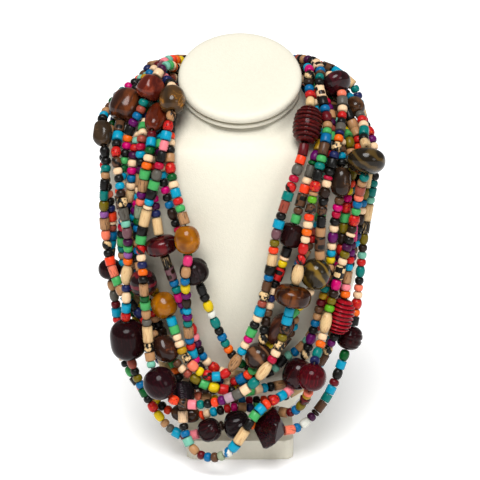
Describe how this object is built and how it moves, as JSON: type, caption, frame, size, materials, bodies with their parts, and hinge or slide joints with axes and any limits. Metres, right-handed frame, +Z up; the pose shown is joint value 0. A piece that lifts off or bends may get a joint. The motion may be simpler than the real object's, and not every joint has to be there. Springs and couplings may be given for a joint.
{
  "type": "beaded necklace on a neck bust",
  "caption": "Many-strand necklace of small painted, bone and wood beads with large polished wood beads between them, worn by a plain padded neck bust on a slab foot.",
  "frame": {"origin": "centre of the bust's width on its flat underside, below the neck", "axes": "+Z up the bust to the neck, -Y the way the chest and the necklace's front face, +X to the right as seen from the front"},
  "size_m": [0.1931, 0.1539, 0.2824],
  "materials": {
    "leatherette": "matt warm white leatherette over a padded form",
    "small_beads": "small beads of wood, bone and glass in many colours, satin to gloss",
    "dark_wood": "dark stained and polished hardwood",
    "red_wood": "red stained and polished wood",
    "amber_resin": "glossy amber-coloured resin with flecks"
  },
  "bodies": {
    "root": {"stand_base": "leatherette", "bust_torso": "leatherette", "neck_pad": "leatherette", "neck_piping": "leatherette", "strand_inner_left": "small_beads", "bead_grooved_ball": "dark_wood", "bead_brown_long": "dark_wood", "bead_tiger_round": "dark_wood", "bead_plum_lens": "dark_wood", "strand_amber": "small_beads", "bead_amber_upper": "amber_resin", "bead_striped_round": "dark_wood", "bead_square": "dark_wood", "bead_brown_small": "dark_wood", "strand_inner_vee": "small_beads", "bead_mahogany_cut": "dark_wood", "bead_amber_lower": "amber_resin", "bead_hive_dark": "dark_wood", "strand_left_front": "small_beads", "bead_olive_vein": "dark_wood", "bead_plum_sphere": "dark_wood", "bead_chestnut_disc": "dark_wood", "strand_red_disc": "small_beads", "bead_red_disc": "dark_wood", "strand_between": "small_beads", "strand_low_loop": "small_beads", "bead_red_oval": "dark_wood", "bead_banded_ball": "dark_wood", "bead_fine_groove": "dark_wood", "bead_plum_oval": "dark_wood", "bead_dark_barrel": "dark_wood", "bead_banded_barrel": "dark_wood", "strand_left_shoulder": "small_beads", "bead_russet_barrel": "dark_wood", "bead_plum_barrel": "dark_wood", "bead_carved_left": "dark_wood", "bead_dark_round": "dark_wood", "bead_faceted": "dark_wood", "bead_plum_grooved": "dark_wood", "strand_rear": "small_beads", "strand_left_outer": "small_beads", "bead_grey_nugget": "dark_wood", "bead_russet_patch": "dark_wood", "bead_hive_red": "red_wood", "strand_left_second": "small_beads", "bead_plum_small": "dark_wood", "bead_long_barrel": "dark_wood", "bead_plum_red": "dark_wood", "bead_brown_disc": "dark_wood", "bead_brown_oval": "dark_wood", "clasp": "dark_wood"}
  },
  "joints": []
}
